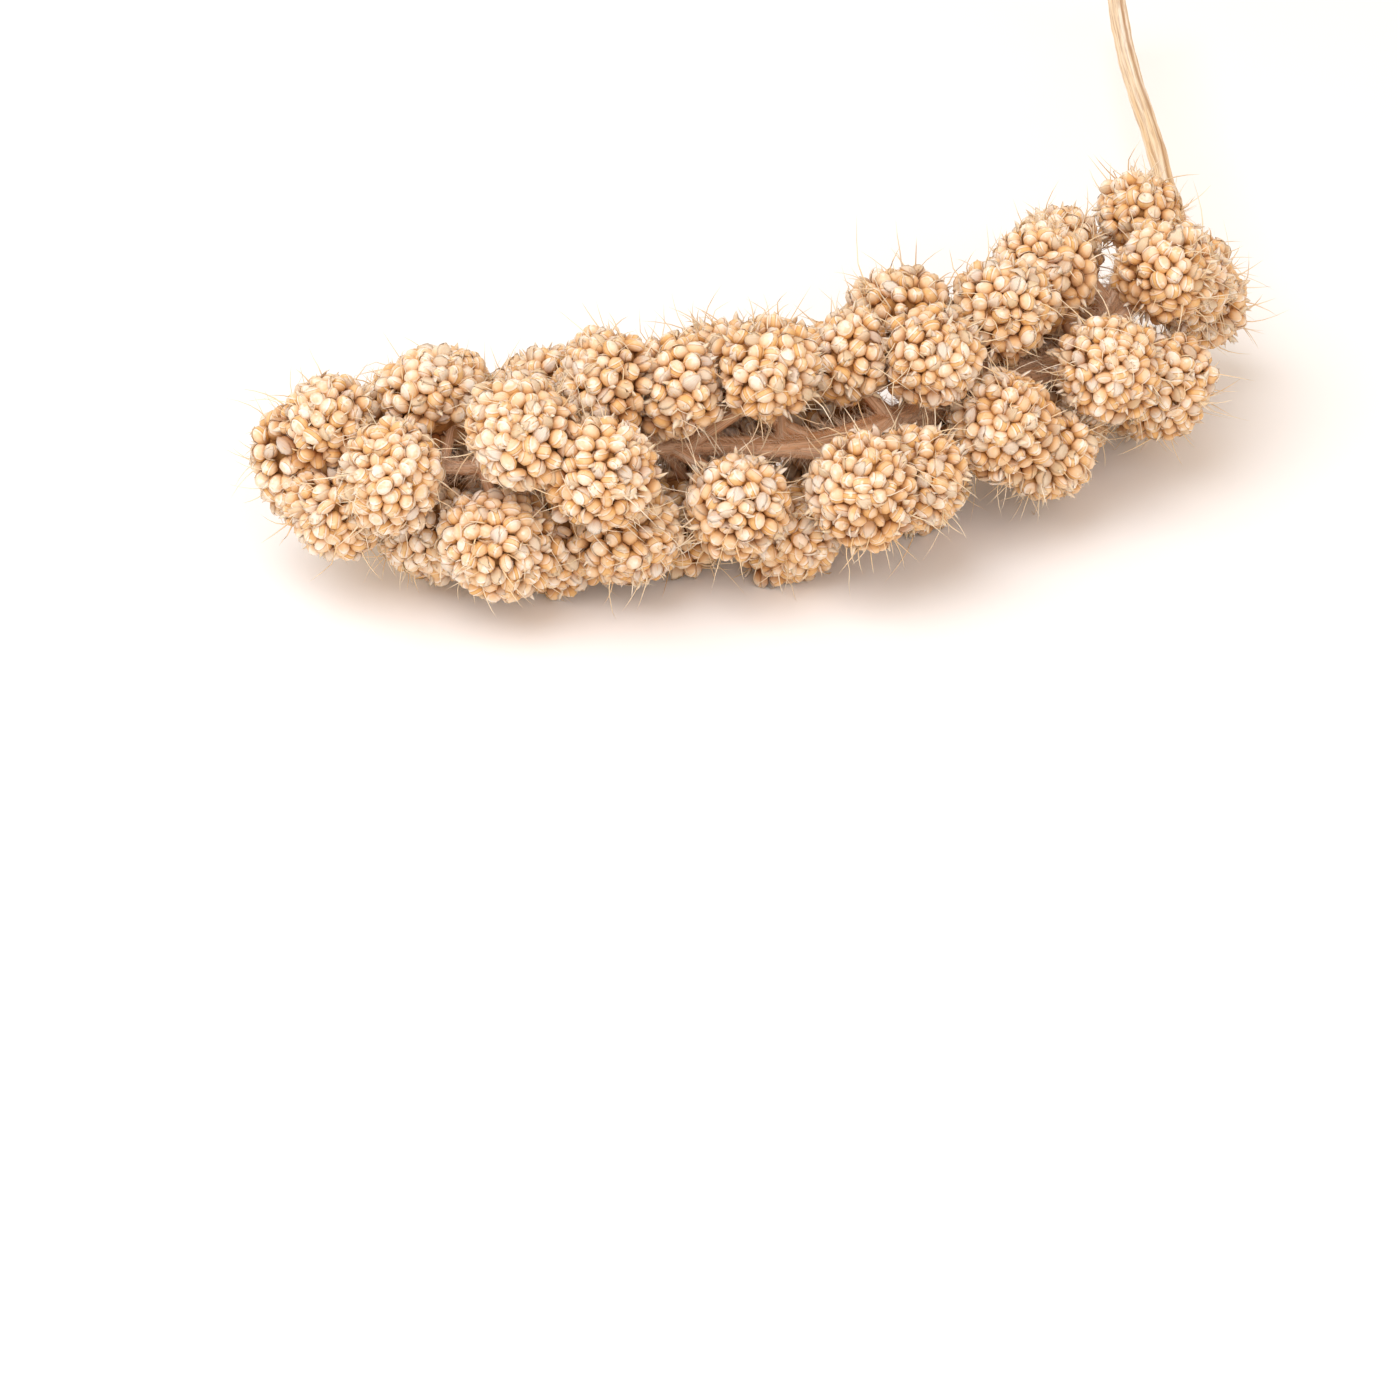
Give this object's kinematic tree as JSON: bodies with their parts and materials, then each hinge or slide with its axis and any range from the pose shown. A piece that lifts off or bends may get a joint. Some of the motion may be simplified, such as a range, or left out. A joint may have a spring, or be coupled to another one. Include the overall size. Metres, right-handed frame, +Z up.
{
  "type": "millet seed head",
  "caption": "Cut head of foxtail millet lying on its side: tight round grain clusters on short branches, spiralling round a curved, tapered stalk with a bare stem",
  "frame": {"origin": "under the middle of the whole head and stem, on the surface they lie on", "axes": "+Z up, away from the surface; seen from above, the stem points along +Y and the head bends round from there to -X, its tip"},
  "size_m": [0.0936, 0.1216, 0.0256],
  "materials": {
    "straw": "dry straw, matt, with lengthwise grooves",
    "grain": "dry millet grain in papery husks, matt with a faint sheen"
  },
  "bodies": {
    "root": {"stalk": "straw", "cluster_01": "grain", "cluster_02": "grain", "cluster_03": "grain", "cluster_04": "grain", "cluster_05": "grain", "cluster_06": "grain", "cluster_07": "grain", "cluster_08": "grain", "cluster_09": "grain", "cluster_10": "grain", "cluster_11": "grain", "cluster_12": "grain", "cluster_13": "grain", "cluster_14": "grain", "cluster_15": "grain", "cluster_16": "grain", "cluster_17": "grain", "cluster_18": "grain", "cluster_19": "grain", "cluster_20": "grain", "cluster_21": "grain", "cluster_22": "grain", "cluster_23": "grain", "cluster_24": "grain", "cluster_25": "grain", "cluster_26": "grain", "cluster_27": "grain", "cluster_28": "grain", "cluster_29": "grain", "cluster_30": "grain", "cluster_31": "grain", "cluster_32": "grain", "cluster_33": "grain", "cluster_34": "grain", "cluster_35": "grain", "cluster_36": "grain", "cluster_37": "grain", "cluster_38": "grain", "cluster_39": "grain", "cluster_40": "grain", "cluster_41": "grain", "cluster_42": "grain", "cluster_43": "grain", "cluster_44": "grain", "cluster_45": "grain", "cluster_46": "grain", "cluster_47": "grain", "cluster_48": "grain", "cluster_49": "grain", "cluster_50": "grain"}
  },
  "joints": []
}
